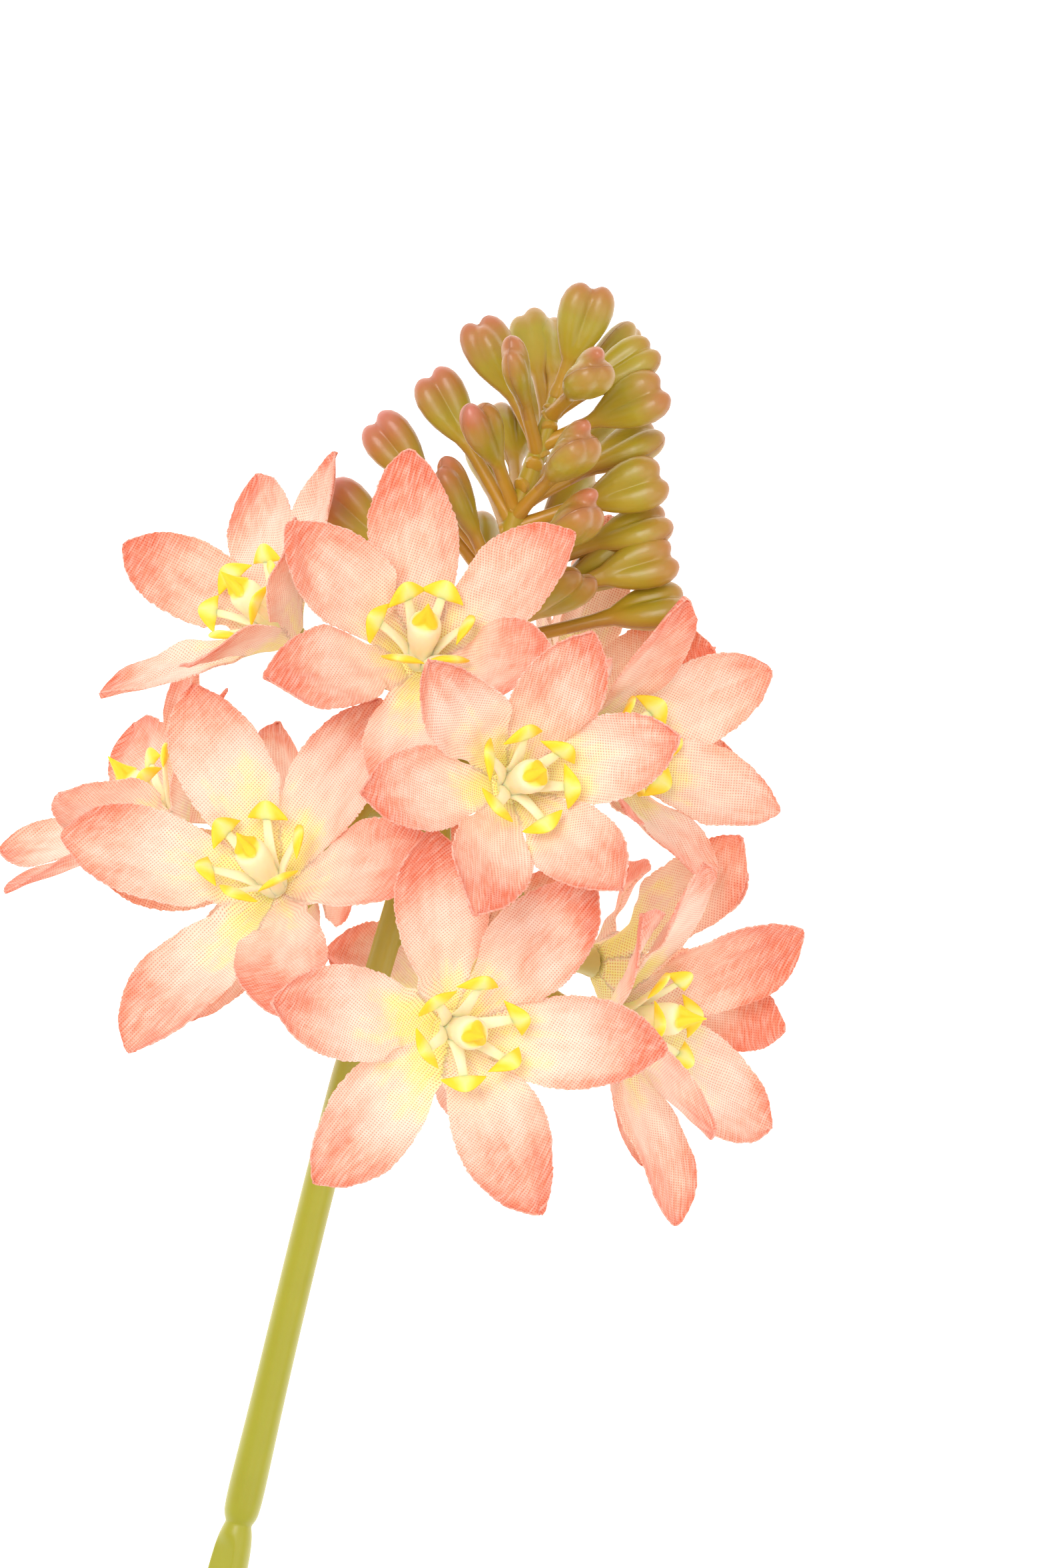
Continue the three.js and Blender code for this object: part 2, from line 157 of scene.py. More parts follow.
def finishPiece(piece, node, material, smoothAngle=40):
    piece.data.materials.clear()
    piece.data.materials.append(material)
    pickOnly(piece)
    bpy.ops.object.shade_smooth_by_angle(angle=math.radians(smoothAngle))
    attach(piece, "root")
    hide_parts(node)
    print("finished", piece.name, len(piece.data.polygons))


# Materials

def paint(red, green, blue):
    def line(value):
        value /= 255
        return value / 12.92 if value <= 0.04045 else ((value + 0.055) / 1.055) ** 2.4
    return (line(red), line(green), line(blue), 1)


def addNode(tree, kind, values=None, **settings):
    node = tree.nodes.new(kind)
    for name, value in settings.items():
        setattr(node, name, value)
    for socket, value in (values or {}).items():
        if isinstance(value, bpy.types.NodeSocket):
            tree.links.new(value, node.inputs[socket])
        else:
            node.inputs[socket].default_value = value
    return node


def calc(tree, operation, *values, clamp=False):
    node = addNode(tree, "ShaderNodeMath", dict(enumerate(values)), operation=operation)
    node.use_clamp = clamp
    return node.outputs[0]


def rampOf(tree, share, stops):
    node = addNode(tree, "ShaderNodeValToRGB", {0: share})
    elements = node.color_ramp.elements
    while len(elements) < len(stops):
        elements.new(0.5)
    for element, (place, colour) in zip(elements, stops):
        element.position = place
        element.color = colour
    return node.outputs[0]


def noiseOf(tree, vector, scale, detail=2.0, roughness=0.5):
    node = addNode(tree, "ShaderNodeTexNoise", {
        "Vector": vector, "Scale": scale, "Detail": detail, "Roughness": roughness})
    return node.outputs[0]


def mixOf(tree, share, first, second, blend="MIX"):
    node = addNode(tree, "ShaderNodeMix", {0: share, 6: first, 7: second},
                   data_type="RGBA", blend_type=blend)
    return node.outputs[2]


def newMaterial(name, **values):
    material = bpy.data.materials.new(name)
    material.use_nodes = True
    tree = material.node_tree
    shader = tree.nodes["Principled BSDF"]
    for socket, value in values.items():
        shader.inputs[socket.replace("_", " ")].default_value = value
    return material, tree, shader


# A share moved up and down by a noise
def swayed(tree, share, noise, amount):
    away = calc(tree, "SUBTRACT", noise, 0.5)
    return calc(tree, "ADD", share, calc(tree, "MULTIPLY", away, amount))


clothValues = {
    "threadPitch": 0.34,     # mm between threads
    "flatSize": 60,          # mm across one unit of the cut star's own map
    "streakReach": 0.45,     # how far each noise moves the dye along the petal
    "blotchReach": 0.85,
    "brushReach": 0.1,
    "toneReach": 0.14,       # from petal to petal
    "edgeReach": 0.13,       # more dye along the edges
    "threadDye": paint(255, 240, 226),
    # deep coral for painted shade in the gaps between threads
    "holeShade": paint(222, 120, 92),
    # pale edge colour: frayed white fibres, and a painted highlight along the cut edge
    "rimFrayAndHighlight": paint(255, 226, 208),
    "rimWidth": 0.125,       # mm
    "bumpDepth": 0.00018,
    "stops": [
        (0.00, paint(255, 250, 150)), (0.16, paint(255, 247, 164)), (0.29, paint(255, 238, 190)),
        (0.40, paint(254, 226, 204)), (0.54, paint(253, 212, 190)), (0.68, paint(249, 192, 165)),
        (0.82, paint(245, 162, 132)), (1.00, paint(237, 128, 96)),
    ],
}


def makePetalCloth():
    v = clothValues
    material, tree, shader = newMaterial(
        "petalCloth", Roughness=0.85, Specular_IOR_Level=0.25, Sheen_Weight=0.12,
        Sheen_Roughness=0.5)
    place = addNode(tree, "ShaderNodeUVMap", uv_map="place").outputs[0]
    cut = addNode(tree, "ShaderNodeUVMap", uv_map="cut").outputs[0]
    split = addNode(tree, "ShaderNodeSeparateXYZ", {0: place})
    share, across = split.outputs[0], calc(tree, "SUBTRACT", split.outputs[1], 0.5)
    tone = addNode(tree, "ShaderNodeAttribute", attribute_name="petalTone").outputs["Fac"]
    rim = addNode(tree, "ShaderNodeAttribute", attribute_name="rimDistance").outputs["Fac"]
    # Dye brushed on from the tips, in streaks along the petal
    stretched = addNode(tree, "ShaderNodeCombineXYZ", {
        0: calc(tree, "MULTIPLY", share, 2.0), 1: calc(tree, "MULTIPLY", across, 4.2),
        2: calc(tree, "MULTIPLY", tone, 31.0)}).outputs[0]
    streak = noiseOf(tree, stretched, 1.3, 5.0, 0.62)
    blotch = noiseOf(tree, cut, 7.0, 4.0, 0.58)
    brushed = addNode(tree, "ShaderNodeCombineXYZ", {
        0: calc(tree, "MULTIPLY", share, 6.0), 1: calc(tree, "MULTIPLY", across, 14.0),
        2: calc(tree, "MULTIPLY", tone, 17.0)}).outputs[0]
    brush = noiseOf(tree, brushed, 1.4, 4.0, 0.55)
    reach = swayed(tree, share, streak, v["streakReach"])
    reach = swayed(tree, reach, blotch, v["blotchReach"])
    reach = swayed(tree, reach, brush, v["brushReach"])
    reach = calc(tree, "ADD", reach, calc(tree, "MULTIPLY", tone, v["toneReach"]))
    edge = calc(tree, "POWER", calc(tree, "ABSOLUTE", calc(tree, "MULTIPLY", across, 2.0)), 3.0)
    reach = calc(tree, "ADD", reach, calc(tree, "MULTIPLY", edge, v["edgeReach"]))
    dye = rampOf(tree, reach, v["stops"])
    # The weave, cut along the same threads over the whole star
    scaled = addNode(tree, "ShaderNodeVectorMath", {
        0: cut, "Scale": v["flatSize"] * math.pi / v["threadPitch"]}, operation="SCALE").outputs[0]
    threads = addNode(tree, "ShaderNodeSeparateXYZ", {0: scaled})
    warp = calc(tree, "ABSOLUTE", calc(tree, "SINE", threads.outputs[0]))
    weft = calc(tree, "ABSOLUTE", calc(tree, "SINE", threads.outputs[1]))
    holes = calc(tree, "POWER", calc(tree, "MULTIPLY", warp, weft), 3.0)
    dashes = addNode(
        tree, "ShaderNodeVectorMath", {0: scaled, 1: (0.05, 0.35, 1.0)}, operation="MULTIPLY")
    dash = noiseOf(tree, dashes.outputs[0], 1.0, 1.0)
    patchy = calc(tree, "MULTIPLY_ADD", noiseOf(tree, cut, 30.0, 2.0), 0.8, 0.3)
    # Painted shade: the gaps between threads are multiplied towards deep coral, where shade falls
    # in the weave
    gapShade = calc(tree, "MULTIPLY", holes, patchy)
    threaded = mixOf(
        tree, calc(tree, "MULTIPLY_ADD", dash, 0.9, -0.34, clamp=True), dye, v["threadDye"])
    woven = mixOf(tree, gapShade, threaded, v["holeShade"], "MULTIPLY")
    # Paler along the cut edge: partly frayed white fibres, partly a painted highlight
    pale = calc(tree, "SUBTRACT", 1.0, calc(tree, "MULTIPLY", rim, 1 / v["rimWidth"]), clamp=True)
    edged = mixOf(tree, calc(tree, "MULTIPLY", pale, 0.2), woven, v["rimFrayAndHighlight"])
    tree.links.new(edged, shader.inputs["Base Color"])
    height = calc(
        tree, "ADD", calc(tree, "MULTIPLY", holes, -0.35), calc(tree, "MULTIPLY", streak, 1.1))
    bump = addNode(tree, "ShaderNodeBump", {
        "Strength": 0.7, "Distance": v["bumpDepth"], "Height": height}).outputs[0]
    tree.links.new(bump, shader.inputs["Normal"])
    return material


def makeCentrePlastic():
    material, tree, shader = newMaterial(
        "centrePlastic", Roughness=0.5, Specular_IOR_Level=0.3, Subsurface_Weight=0.5,
        Subsurface_Scale=0.0018)
    tint = addNode(tree, "ShaderNodeAttribute", attribute_name="tint").outputs["Fac"]
    where = addNode(tree, "ShaderNodeTexCoord").outputs["Object"]
    mottle = noiseOf(tree, where, 900.0, 2.0)
    colour = rampOf(tree, swayed(tree, tint, mottle, 0.12), [
        (0.00, paint(255, 245, 214)), (0.25, paint(255, 241, 188)), (0.55, paint(255, 235, 120)),
        (0.80, paint(254, 220, 56)), (1.00, paint(252, 206, 34)),
    ])
    tree.links.new(colour, shader.inputs["Base Color"])
    bump = addNode(tree, "ShaderNodeBump", {
        "Strength": 0.35, "Distance": 0.0001, "Height": mottle}).outputs[0]
    tree.links.new(bump, shader.inputs["Normal"])
    return material


noSeam = 9.0                 # a distance in mm that no mould line reaches
oliveValues = {
    "cloudReach": 0.22,      # how far the clouds move the growth
    "growthEnd": 1.5,        # growth at the last stop
    "seamWidth": 0.9,        # mm of blush and painted outline shade beside the mould line
    # brown beside the mould line: real blush, and painted shade along the outline
    "blushAndEdgeShade": paint(166, 104, 66),
    "ridgeWidth": 0.14,      # mm
    "mottleColour": paint(206, 190, 110),
}


# Olive plastic. The growth runs from stalk to tip; the seam is the distance to the mould line.
# Beside the mould line the colour is partly the buds' own blush and partly painted shade where the
# line runs along the outline.
def makeOlivePlastic(name, stops, blushAndShadeAmount, roughness):
    v = oliveValues
    material, tree, shader = newMaterial(
        name, Roughness=roughness, Specular_IOR_Level=0.5, Coat_Weight=0.12, Coat_Roughness=0.3,
        Subsurface_Weight=0.12, Subsurface_Scale=0.001)
    growth = addNode(tree, "ShaderNodeAttribute", attribute_name="growth").outputs["Fac"]
    seam = addNode(tree, "ShaderNodeAttribute", attribute_name="seam").outputs["Fac"]
    where = addNode(tree, "ShaderNodeTexCoord").outputs["Object"]
    cloud = noiseOf(tree, where, 160.0, 3.0, 0.6)
    grain = noiseOf(tree, where, 1500.0, 2.0)
    share = swayed(tree, growth, cloud, v["cloudReach"])
    body = rampOf(tree, calc(tree, "DIVIDE", share, v["growthEnd"]), stops)
    away = calc(tree, "ABSOLUTE", seam)
    near = calc(tree, "SUBTRACT", 1.0, calc(tree, "DIVIDE", away, v["seamWidth"]), clamp=True)
    # Partly real blush, partly painted shade along the outline where the mould line runs
    blushedAndShaded = mixOf(tree, calc(tree, "MULTIPLY", near, blushAndShadeAmount), body, v["blushAndEdgeShade"])
    mottled = mixOf(
        tree, calc(tree, "MULTIPLY", cloud, 0.25), blushedAndShaded, v["mottleColour"], "MULTIPLY")
    tree.links.new(mottled, shader.inputs["Base Color"])
    ridge = calc(tree, "SUBTRACT", 1.0, calc(tree, "DIVIDE", away, v["ridgeWidth"]), clamp=True)
    height = calc(tree, "ADD", ridge, calc(tree, "MULTIPLY", grain, 0.25))
    bump = addNode(tree, "ShaderNodeBump", {
        "Strength": 0.6, "Distance": 0.00012, "Height": height}).outputs[0]
    tree.links.new(bump, shader.inputs["Normal"])
    return material


petalCloth = makePetalCloth()
centrePlastic = makeCentrePlastic()
budPlastic = makeOlivePlastic("budPlastic", [
    (0.00, paint(204, 146, 48)), (0.20, paint(192, 148, 44)), (0.34, paint(180, 154, 38)),
    (0.50, paint(172, 152, 38)), (0.62, paint(178, 132, 54)), (0.70, paint(188, 116, 70)),
    (0.96, paint(238, 132, 150)),
], 0.5, 0.36)
racemePlastic = makeOlivePlastic("racemePlastic", [
    (0.00, paint(170, 154, 46)), (0.50, paint(190, 172, 80)), (1.00, paint(214, 204, 130)),
], 0.0, 0.36)
stemPlastic = makeOlivePlastic("stemPlastic", [
    (0.00, paint(168, 164, 34)), (0.50, paint(164, 154, 36)), (1.00, paint(166, 136, 40)),
], 0.0, 0.4)
print("materials made")


# The axis of the whole stem, in mm, from the cut foot to the top of the spike
axisPoints = np.array([
    [0, -2, 1.45], [0, 100, 17.5], [-0.2, 196, 32.3], [0.3, 218, 36], [1.5, 240, 39.4],
    [3, 265, 43], [4.5, 290, 46], [6.1, 305, 48.5], [6, 320, 51],
])


def axisAt(y):
    x = np.interp(y, axisPoints[:, 1], axisPoints[:, 0])
    z = np.interp(y, axisPoints[:, 1], axisPoints[:, 2])
    return Vector((float(x), float(y), float(z)))


# A tube along the axis: it is raised along Z, then laid down along Y
def growAlongAxis(name, stations, sides):
    raised = []
    for y, wide, deep in stations:
        middle = axisAt(y)
        raised.append(((middle.x, -middle.z, y), wide, deep))
    tube = growTube(name, raised, sides)
    tube.data.transform(Matrix.Rotation(math.radians(-90), 4, "X"))
    return tube


# Stem
stemValues = {
    "foot": 2.5,
    "pinchY": 155,
    "pinch": 1.72,
    "mouldLine": 0.05,             # how proud it stands
    "mouldWidth": 0.2,
    "flatAt": 144.5,               # middle of the oval flat on the left below the knuckle
    "flatHalf": 9.0,
    "flatReach": 1.62,             # from the axis to the flat
    "flatFacing": (-0.62, 0.0, 0.785),
}


def makeStem():
    v = stemValues
    pinchY = v["pinchY"]
    stations = [(y, v["foot"], v["foot"]) for y in (-2, 0, 30, 60, 90, 120, 138)]
    stations += [
        (145, 2.64, 2.62), (149.5, 2.56, 2.55), (152.5, 2.34, 2.34), (pinchY - 1, 2.02, 2.02),
        (pinchY - 0.3, 1.78, 1.78), (pinchY, v["pinch"], v["pinch"]),
        (pinchY + 0.3, 1.86, 1.86), (pinchY + 1, 2.2, 2.2), (pinchY + 2.2, 2.36, 2.36),
        (pinchY + 5, 2.4, 2.4), (pinchY + 10, 2.3, 2.3), (173, 2.16, 2.16), (185, 2.1, 2.1),
        (200, 2.08, 2.08), (210, 2.1, 2.1), (215, 2.1, 2.1), (217.4, 2.0, 2.0),
        (218.6, 1.8, 1.8), (219.2, 1.3, 1.3),
    ]
    stem = growAlongAxis("stemFine", stations, 16)
    applyModifier(stem, "SUBSURF", levels=2, render_levels=2)
    # The cut foot lies flat, just above the ground
    pickOnly(stem)
    bpy.ops.object.mode_set(mode="EDIT")
    bpy.ops.mesh.select_all(action="SELECT")
    bpy.ops.mesh.bisect(
        plane_co=(0, 0, 0.00002), plane_no=(0, 0, -1), clear_outer=True, use_fill=True)
    bpy.ops.object.mode_set(mode="OBJECT")
    points = pointsOf(stem) / mm
    axis = np.array([axisAt(y) for y in points[:, 1]])
    away = points - axis
    # Oval flat: points beyond a slanted plane on the left are pulled back to it
    normal = np.array(v["flatFacing"])
    over = away @ normal - v["flatReach"]
    oval = 1 - ((points[:, 1] - v["flatAt"]) / v["flatHalf"]) ** 2
    pull = np.clip(over, 0, None) * np.clip(oval * 3, 0, 1)
    points -= pull[:, None] * normal
    # A faint mould line along both sides
    line = v["mouldLine"] * np.exp(-(away[:, 2] / v["mouldWidth"]) ** 2)
    points[:, 0] += np.sign(away[:, 0]) * line
    setPoints(stem, points * mm)
    setNumber(stem, "growth", smooth(196, 219, points[:, 1]) * 0.8)
    setNumber(stem, "seam", noSeam)
    finishPiece(stem, "stem", stemPlastic)


makeStem()


# Open blooms: eye, facing and lean of the centre; size, turn, foot of the side stalk, lifts of
# the six petals; their turns aside, bends and twists in degrees
bloomRows = [
    ((-20.1, 268.2, 45.9), (-0.75, 0.45, 0.48), (-0.75, 0.43, 0.5),
     0.89, -19, 262, (36, 24, 52, 29, 40, 48),
     (-1, 3, -4, -6, -2, 8), (12, 12, 4, 8, 14, 14), (-4, 4, 6, -10, 2, -4)),
    ((-2.7, 268.6, 61.2), (-0.14, 0.31, 0.94), (-0.03, 0.56, 0.83),
     0.94, 13, 261, (25, 45, 44, 27, 47, 31),
     (4, -6, -3, -1, 10, 3), (6, 18, 16, 6, 4, 12), (6, 2, 4, -10, -2, 6)),
    ((-28.6, 240.2, 36.1), (-0.83, 0.52, 0.22), (-0.8, 0.58, 0.14),
     0.9, 10, 245, (39, 24, 29, 31, 47, 30),
     (1, -1, 6, 8, -8, 3), (10, 14, 10, 10, 4, 8), (2, 6, 4, 2, 0, 2)),
    ((-13.7, 236.7, 56.1), (-0.38, 0.34, 0.86), (-0.48, 0.45, 0.75),
     0.99, 39, 261, (30, 29, 5, 29, 26, 28),
     (0, 1, 1, -3, 5, -1), (10, 10, 14, 8, 8, 6), (-4, 6, -4, 6, 0, -8)),
    ((11.8, 256.2, 75.9), (0.09, 0.1, 0.99), (0.32, 0.23, 0.92),
     0.87, -7, 252, (40, 46, 39, 46, 44, 38),
     (-6, 0, -4, 1, 1, 4), (10, 16, 10, 12, 8, 8), (0, 4, 0, 10, 2, -4)),
    ((11.8, 225.2, 69.2), (0.17, 0.12, 0.98), (0.33, 0.01, 0.94),
     0.97, 33, 253, (29, 27, 14, 28, 27, 34),
     (-9, 4, -4, 0, 2, -2), (8, 8, 6, 6, 8, 12), (-4, 2, 2, -16, -14, 0)),
    ((20.6, 262.9, 41.4), (0.72, 0.24, 0.65), (0.77, 0.22, 0.6),
     0.92, 11, 262, (50, 44, 51, 48, 50, 43),
     (1, 0, -2, 3, -2, -4), (10, 10, 10, 8, 4, 6), (0, 0, -2, 4, -2, 8)),
    ((31, 230.6, 51.6), (0.88, 0.06, 0.47), (0.89, 0.23, 0.39),
     0.98, 12, 258, (35, 31, 59, 32, 36, 43),
     (14, -14, 7, -6, -8, 4), (14, 10, 4, 6, 8, 6), (6, -2, 4, -12, -4, 4)),
    ((27.95, 236.62, 30.86), (0.83, 0.17, -0.53), (0.86, -0.18, -0.48),
     0.97, -10, 259, (70, 20, 38, 18, 34, 41),
     (0, -6, -6, 3, 2, 9), (12, 14, 8, 10, 18, 8), (6, -4, 4, 8, -10, -12)),
    ((-12.73, 241.8, 25.2), (-0.56, -0.5, -0.66), (-0.67, -0.28, -0.69),
     0.95, -37, 248, (40, 25, 36, 42, 35, 42),
     (1, -4, 0, -1, 2, 3), (4, 8, 12, 10, 8, 8), (4, 2, -4, -2, 6, 2)),
    ((15.12, 267.79, 23.28), (0.56, 0.76, -0.33), (0.59, 0.7, -0.41),
     0.96, -35, 243, (36, 44, 32, 32, 38, 46),
     (1, -1, 0, 3, -1, 4), (12, 12, 10, 10, 8, 6), (4, 0, 2, 0, -2, 4)),
    ((9.29, 227.77, 31.53), (0.19, 0.04, -0.98), (0.13, 0.05, -0.99),
     0.99, -24, 235, (39, 41, 47, 42, 45, 47),
     (7, -4, 9, -2, 2, -4), (18, 4, 12, 12, 12, 16), (-6, -4, -2, -10, 0, 8)),
]
bloomNames = ("at", "face", "aim", "size", "spin", "foot", "lifts", "turns", "bends", "twists")
blooms = [dict(zip(bloomNames, row)) for row in bloomRows]


# The frame of a bloom in mm: x toward the petals' zero, z the way it faces
def bloomMatrix(bloom):
    facing = Vector(bloom["face"]).normalized()
    first = (Vector((0, 1, 0)) - facing * facing.y).normalized()
    turned = Matrix((first, facing.cross(first), facing)).transposed().to_4x4()
    return Matrix.Translation(bloom["at"]) @ turned


# Raceme axis with side stalks
racemeValues = {
    "axis": 1.75,
    "stalkRadii": (1.25, 0.95, 0.85, 0.95, 1.45),    # from the axis to under the star
    "cup": [(-3.4, 1.35), (-2.2, 1.6), (-1.2, 1.95), (-0.75, 2.2), (-0.6, 2.1)],
    "pin": 0.85,
    "voxel": 0.3,
}


def makeSideStalk(bloom):
    matrix = bloomMatrix(bloom)
    foot = axisAt(bloom["foot"])
    facing = matrix.to_3x3() @ Vector((0, 0, 1))
    end = Vector(bloom["at"]) - facing * 3
    reach = (foot - end).length * 0.45
    leave = ((end - foot).normalized() + Vector((0, 0.6, 0.1))).normalized()
    clearSelection()
    bpy.ops.curve.primitive_bezier_curve_add(location=(0, 0, 0))
    curve = bpy.context.active_object
    curve.data.dimensions = "3D"
    curve.data.bevel_depth = mm
    curve.data.bevel_resolution = 3
    curve.data.resolution_u = 8
    curve.data.use_fill_caps = True
    spline = curve.data.splines[0]
    spline.bezier_points.add(3)
    handles = [foot, foot + leave * reach, end - facing * reach, end]
    radii = racemeValues["stalkRadii"]
    for i, point in enumerate(spline.bezier_points):
        t = i / 4
        weights = ((1 - t) ** 3, 3 * t * (1 - t) ** 2, 3 * t * t * (1 - t), t ** 3)
        slopes = (-3 * (1 - t) ** 2, 3 * (1 - t) * (1 - 3 * t), 3 * t * (2 - 3 * t), 3 * t * t)
        middle = sum((h * w for h, w in zip(handles, weights)), Vector())
        slope = sum((h * w for h, w in zip(handles, slopes)), Vector()) / 12
        point.handle_left_type = point.handle_right_type = "FREE"
        point.co = middle * mm
        point.handle_left = (middle - slope) * mm
        point.handle_right = (middle + slope) * mm
        point.radius = radii[i]
    bpy.ops.object.convert(target="MESH")
    stalk = bpy.context.active_object
    cup = growTube("cup", [((0, 0, z), r, r) for z, r in racemeValues["cup"]], 16)
    cup.data.transform(Matrix.Scale(mm, 4) @ matrix @ Matrix.Scale(1 / mm, 4))
    pin = growTube("pin", [((0, 0, -1), racemeValues["pin"], racemeValues["pin"]),
                           ((0, 0, 0.5), racemeValues["pin"], racemeValues["pin"])], 12)
    pin.data.transform(Matrix.Scale(mm, 4) @ matrix @ Matrix.Scale(1 / mm, 4))
    return joinAll([stalk, cup, pin], "sideStalk")


def makeRaceme():
    radius = racemeValues["axis"]
    stations = [(212.4, 1.05, 1.05), (218.9, 1.05, 1.05), (219.4, 1.7, 1.7)]
    stations += [(y, radius, radius) for y in (222, 230, 240, 250, 260)]
    stations += [(269.6, 1.6, 1.6)]
    axis = growAlongAxis("racemeAxis", stations, 16)
    raceme = joinAll([axis] + [makeSideStalk(bloom) for bloom in blooms], "racemeFine")
    applyModifier(raceme, "REMESH", mode="VOXEL", voxel_size=racemeValues["voxel"] * mm)
    applyModifier(raceme, "SMOOTH", factor=0.5, iterations=4)
    points = pointsOf(raceme) / mm
    growth = np.zeros(len(points))
    for bloom in blooms:
        away = np.linalg.norm(points - np.array(bloom["at"]), axis=1)
        growth = np.maximum(growth, 1.2 * (1 - smooth(2, 14, away)))
    setNumber(raceme, "growth", growth)
    setNumber(raceme, "seam", noSeam)
    finishPiece(raceme, "raceme_axis", racemePlastic)


makeRaceme()


# Buds: foot on the axis, middle of the bud, kind, turn about its own length
budValues = {
    "neck": 8.0,
    "lobeLength": 9.8,
    "voxel": 0.34,
    "browner": 0.16,         # how much further the blush runs on the left side of the spike
}
budRows = [
    (306, (7, 315.5, 50.9), "heart", 8), (304, (3.5, 312.1, 40.9), "narrow", 30),
    (302, (1.3, 311.9, 41.1), "narrow", -20), (298.5, (-3, 308.7, 48.4), "triple", 10),
    (298, (0.4, 307, 57.8), "narrow", 75), (288.5, (-7.3, 301.2, 45.8), "heart", 0),
    (290, (-1.6, 298.7, 55.1), "uneven", 35), (282, (-12.3, 294.5, 44.7), "heart", -5),
    (281, (-3.5, 290.5, 48.8), "narrow", 60), (274, (-15.8, 285, 43.5), "heart", 5),
    (279, (0, 286.3, 34.4), "heart", 20), (291, (1.4, 300.3, 35.4), "heart", 40),
    (303, (9.2, 307.9, 60.1), "beak", 62), (304, (11.6, 313.2, 43.5), "narrow", 50),
    (303, (13.4, 311, 49.1), "heart", -35), (299, (15.5, 306.8, 51.2), "heart", -10),
    (291, (16.2, 301.4, 43.9), "heart", -50), (289.5, (9.5, 298.1, 57.7), "beak", 64),
    (288, (17.7, 296.4, 47.5), "heart", -5), (281, (19.6, 291.4, 44), "heart", -45),
    (280, (11.6, 289.8, 54.6), "beak", 62), (277, (21.3, 287.2, 45.3), "heart", 0),
    (272, (23.9, 282.3, 43.5), "heart", -40), (272, (12.3, 281.2, 51.4), "heart", 50),
    (297, (4.4, 305.3, 34.4), "heart", 0), (294, (13, 302.4, 36.1), "narrow", 20),
    (287, (-1.1, 295.2, 33.7), "narrow", 70), (284, (11.2, 294.1, 35.4), "heart", 30),
    (280, (-7.2, 289.5, 40), "narrow", 0), (275, (16.8, 286, 42.4), "heart", 40),
    (274, (7.5, 283.2, 32.3), "heart", -30),
]
# Lobes of each kind: how far out to the side and front, thickness, length
lobeSets = {
    "heart": [(-1.5, 0, 1.0, 1.0), (1.5, 0, 1.0, 0.97)],
    "uneven": [(-1.4, -0.3, 0.92, 0.86), (1.4, 0.2, 0.98, 1.08)],
    "narrow": [(-1.0, 0, 0.9, 1.0), (1.1, 0.2, 0.84, 0.93)],
    "triple": [(-1.5, -0.4, 1.0, 1.0), (1.5, -0.4, 0.98, 1.02), (0.1, 1.2, 0.8, 0.9)],
    "beak": [(-1.0, 0.5, 1.05, 0.96), (1.15, 0.5, 1.05, 0.96), (0, -1.5, 0.74, 1.12)],
}


def makeLobe(side, front, thick, length):
    stations = []
    for share, out, radius in [
        (0.0, 0.0, 0.98), (0.10, 0.2, 1.1), (0.24, 0.5, 1.42), (0.40, 0.78, 1.74),
        (0.56, 0.95, 1.94), (0.72, 1.0, 1.98), (0.84, 0.98, 1.78), (0.93, 0.94, 1.32),
        (0.98, 0.9, 0.75), (1.0, 0.9, 0.25),
    ]:
        z = budValues["neck"] - 1 + share * (budValues["lobeLength"] * length + 1)
        size = radius * (thick if share > 0.2 else 1)
        stations.append(((side * out, front * out, z), size, size))
    return growTube("lobe", stations, 14)


def makeBudMaster(kind):
    stalk = growTube("stalk", [
        ((0, 0, -1.2), 1.2, 1.2), ((0, 0, 0.6), 1.1, 1.1), ((0, 0, 2.5), 0.92, 0.92),
        ((0, 0, 5.5), 0.92, 0.92), ((0, 0, 7.6), 1.0, 1.0), ((0, 0, 9.2), 1.1, 1.1),
    ], 12)
    bud = joinAll([stalk] + [makeLobe(*lobe) for lobe in lobeSets[kind]], "bud_" + kind)
    applyModifier(bud, "REMESH", mode="VOXEL", voxel_size=budValues["voxel"] * mm)
    applyModifier(bud, "SMOOTH", factor=0.5, iterations=3)
    points = pointsOf(bud) / mm
    neck = budValues["neck"]
    stalkShare = 0.3 * np.abs(np.clip(points[:, 2] / neck, 0, 1) - 0.35) + 0.2
    lobeShare = 0.6 * np.clip((points[:, 2] - neck) / budValues["lobeLength"], 0, 1.1)
    setNumber(bud, "growth", np.where(points[:, 2] < neck, stalkShare, 0.4) + lobeShare)
    setNumber(bud, "seam", np.where(points[:, 2] > neck - 3, points[:, 1], noSeam))
    return bud


def placeBud(master, footY, middle, turn, draw):
    foot = axisAt(footY)
    along = (Vector(middle) - foot).normalized()
    side = along.cross(Vector((0, 0, 1))).normalized()
    front = side.cross(along)
    base = (Vector(middle) - foot).length - budValues["lobeLength"] / 2
    bud = copyOf(master, "budCopy")
    points = pointsOf(bud) / mm
    neck = budValues["neck"]
    z = points[:, 2]
    z = np.where(z < neck, z * base / neck, z + base - neck)
    spin = math.radians(turn + draw.uniform(-6, 6)) * smooth(1, neck, points[:, 2])
    size = 1 + draw.uniform(-0.05, 0.04)
    swell = np.where(points[:, 2] > neck, size, 1.0)
    x = (points[:, 0] * np.cos(spin) - points[:, 1] * np.sin(spin)) * swell
    y = (points[:, 0] * np.sin(spin) + points[:, 1] * np.cos(spin)) * swell
    y = y + draw.uniform(-0.5, 0.6) * np.sin(np.pi * np.clip(z / (base + 5), 0, 1))
    placed = np.array(foot) - np.outer(x, side) + np.outer(y, front) + np.outer(z, along)
    setPoints(bud, placed * mm)
    growth = np.empty(len(points))
    bud.data.attributes["growth"].data.foreach_get("value", growth)
    browner = budValues["browner"] * smooth(6, -10, middle[0]) + draw.uniform(-0.03, 0.05)
    setNumber(bud, "growth", growth + browner * smooth(neck - 2, neck + 2, points[:, 2]))
    return bud


